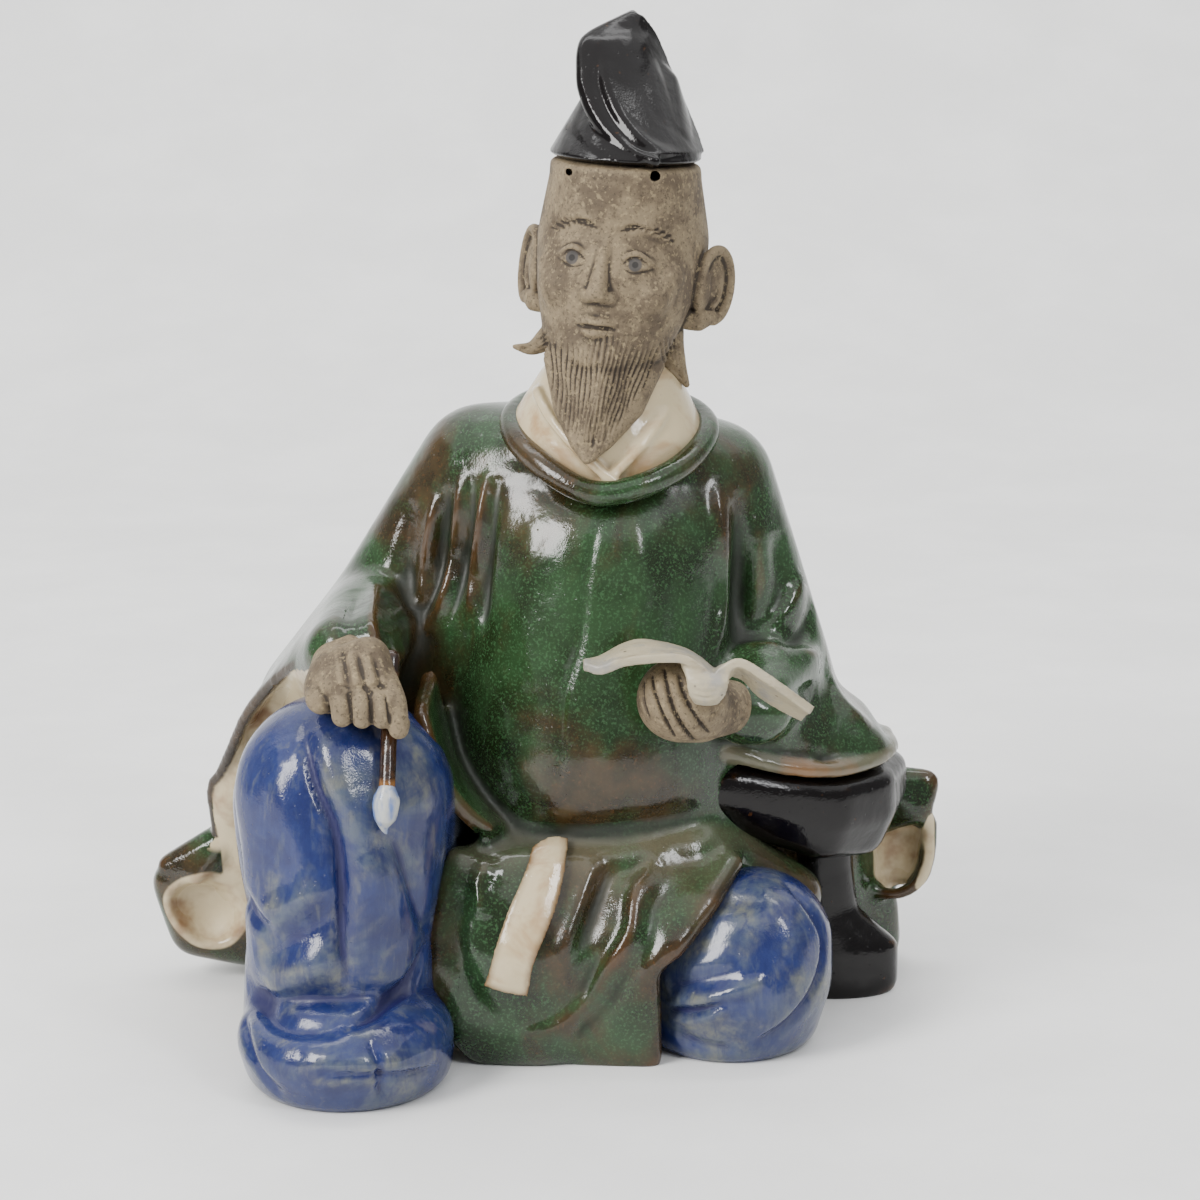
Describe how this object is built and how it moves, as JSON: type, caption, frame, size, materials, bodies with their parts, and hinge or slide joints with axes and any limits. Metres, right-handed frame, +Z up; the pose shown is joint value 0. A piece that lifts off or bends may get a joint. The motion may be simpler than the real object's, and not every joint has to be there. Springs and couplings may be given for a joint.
{
  "type": "seated court poet figurine",
  "caption": "Glazed stoneware table figurine of a bearded poet in a tall cap, seated with one knee raised, holding a brush and a sheet of paper and leaning on an arm rest",
  "frame": {"origin": "centre of the bounding box, on the surface the figurine stands on", "axes": "+Z up, -Y the way the figure faces, +X towards the arm rest under its left arm"},
  "size_m": [0.2038, 0.1574, 0.2499],
  "materials": {
    "glazed_stoneware": "glossy"
  },
  "bodies": {
    "root": {"figurine": "glazed_stoneware"}
  },
  "joints": []
}
